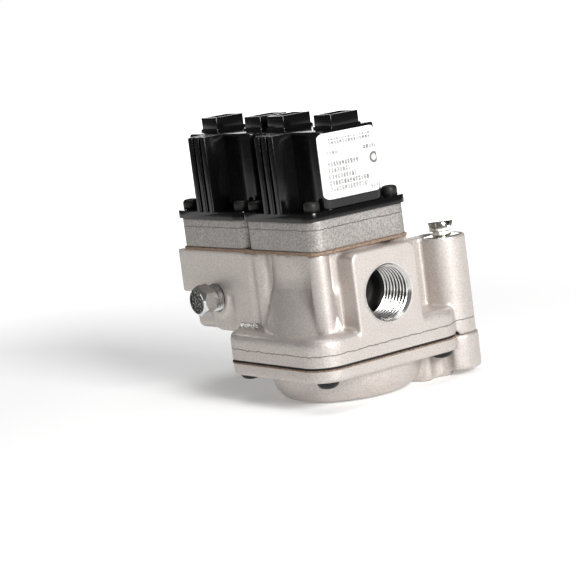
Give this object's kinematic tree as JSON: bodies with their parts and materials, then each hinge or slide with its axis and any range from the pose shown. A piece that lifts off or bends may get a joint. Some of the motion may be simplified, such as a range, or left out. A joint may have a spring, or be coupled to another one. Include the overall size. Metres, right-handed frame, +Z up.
{
  "type": "gas valve",
  "caption": "Combination gas valve: die-cast body with in-line pipe ports, solenoid operators with spade terminals, servo pressure regulator, tap plug and bottom cover.",
  "frame": {"origin": "middle of the bounding box in x and y, at the lowest point of the bottom cover", "axes": "+Z up along the solenoids, +X along the gas flow from the inlet to the outlet, the pressure tap plug faces -Y"},
  "size_m": [0.1094, 0.0852, 0.1096],
  "materials": {
    "cast_aluminium": "die-cast, sand-textured, satin",
    "riser_aluminium": "die-cast, tumbled, satin",
    "black_nylon": "glossy moulded nylon",
    "fibre": "compressed fibre gasket sheet",
    "black_rubber": "smooth nitrile rubber",
    "zinc_plated_steel": "bright zinc plating",
    "nickel_plated_brass": "bright nickel plating",
    "brass": "turned or stamped brass",
    "steel": "plain steel",
    "black_steel": "black zinc plating",
    "copper": "enamelled copper wire",
    "white_nylon": "moulded nylon",
    "label_film": "white self-adhesive film"
  },
  "bodies": {
    "valve": {"valve_body": "cast_aluminium", "riser_gasket": "fibre", "main_diaphragm": "black_rubber", "cover_gasket": "fibre", "lower_cover": "cast_aluminium", "cover_screw_1": "black_steel", "cover_screw_2": "black_steel", "cover_screw_3": "black_steel", "cover_screw_4": "black_steel", "main_valve_spring": "steel", "left_riser_block": "riser_aluminium", "left_coil_housing": "black_nylon", "left_magnet_frame": "steel", "left_bobbin": "white_nylon", "left_winding": "copper", "left_core_tube": "steel", "left_plunger_spring": "steel", "left_terminal_1": "brass", "left_terminal_2": "brass", "left_coil_screw_1": "black_steel", "left_coil_screw_2": "black_steel", "left_coil_screw_3": "black_steel", "left_coil_screw_4": "black_steel", "right_riser_block": "riser_aluminium", "right_coil_housing": "black_nylon", "right_magnet_frame": "steel", "right_bobbin": "white_nylon", "right_winding": "copper", "right_core_tube": "steel", "right_plunger_spring": "steel", "right_terminal_1": "brass", "right_terminal_2": "brass", "right_coil_screw_1": "black_steel", "right_coil_screw_2": "black_steel", "right_coil_screw_3": "black_steel", "right_coil_screw_4": "black_steel", "servo_spring": "steel", "pressure_tap_plug": "zinc_plated_steel", "rating_label": "label_film"},
    "left_plunger": {"left_plunger": "steel", "left_valve_disc": "black_rubber"},
    "right_plunger": {"right_plunger": "steel", "right_valve_disc": "black_rubber"},
    "main_valve": {"main_valve_disc": "black_rubber", "main_valve_disc_holder": "steel", "main_valve_stem": "steel", "diaphragm_plate_upper": "cast_aluminium", "diaphragm_plate_lower": "cast_aluminium"},
    "servo_poppet": {"servo_poppet": "brass"},
    "spring_button": {"spring_button": "brass"},
    "adjusting_screw": {"adjusting_screw": "brass"},
    "cap_seal": {"cap_seal": "black_rubber"},
    "cap_screw": {"cap_screw": "nickel_plated_brass"}
  },
  "joints": [
    {"name": "left_plunger_lift", "type": "slide", "parent": "valve", "child": "left_plunger", "axis": [0, 0, 1], "range_m": [0, 0.0025], "stiffness_N_per_m": 80, "springref_m": -0.005, "deforming": ["left_plunger_spring"]},
    {"name": "right_plunger_lift", "type": "slide", "parent": "valve", "child": "right_plunger", "axis": [0, 0, 1], "range_m": [0, 0.0025], "stiffness_N_per_m": 80, "springref_m": -0.005, "deforming": ["right_plunger_spring"]},
    {"name": "main_valve_lift", "type": "slide", "parent": "valve", "child": "main_valve", "axis": [0, 0, 1], "range_m": [0, 0.0035], "stiffness_N_per_m": 150, "springref_m": -0.006, "deforming": ["main_valve_spring", "main_diaphragm"]},
    {"name": "servo_poppet_lift", "type": "slide", "parent": "valve", "child": "servo_poppet", "axis": [0, 0, 1], "range_m": [0, 0.0008], "stiffness_N_per_m": 200, "springref_m": -0.003},
    {"name": "adjust_travel", "type": "slide", "parent": "valve", "child": "spring_button", "axis": [0, 0, 1], "range_m": [-0.003, 0], "deforming": ["servo_spring"]},
    {"name": "adjust_turn", "type": "hinge", "parent": "spring_button", "child": "adjusting_screw", "pos_m": [0.0423, 0.0329, 0.06], "axis": [0, 0, 1], "range_deg": [-1081, 0]},
    {"name": "cap_travel", "type": "slide", "parent": "valve", "child": "cap_seal", "axis": [0, 0, 1], "range_m": [0, 0.004]},
    {"name": "cap_turn", "type": "hinge", "parent": "cap_seal", "child": "cap_screw", "pos_m": [0.0423, 0.0329, 0.06], "axis": [0, 0, 1], "range_deg": [0, 1441]}
  ],
  "couplings": [
    {"joint": "adjust_turn", "follows": "adjust_travel", "rad_per_m": 6283.2},
    {"joint": "cap_turn", "follows": "cap_travel", "rad_per_m": 6283.2}
  ]
}
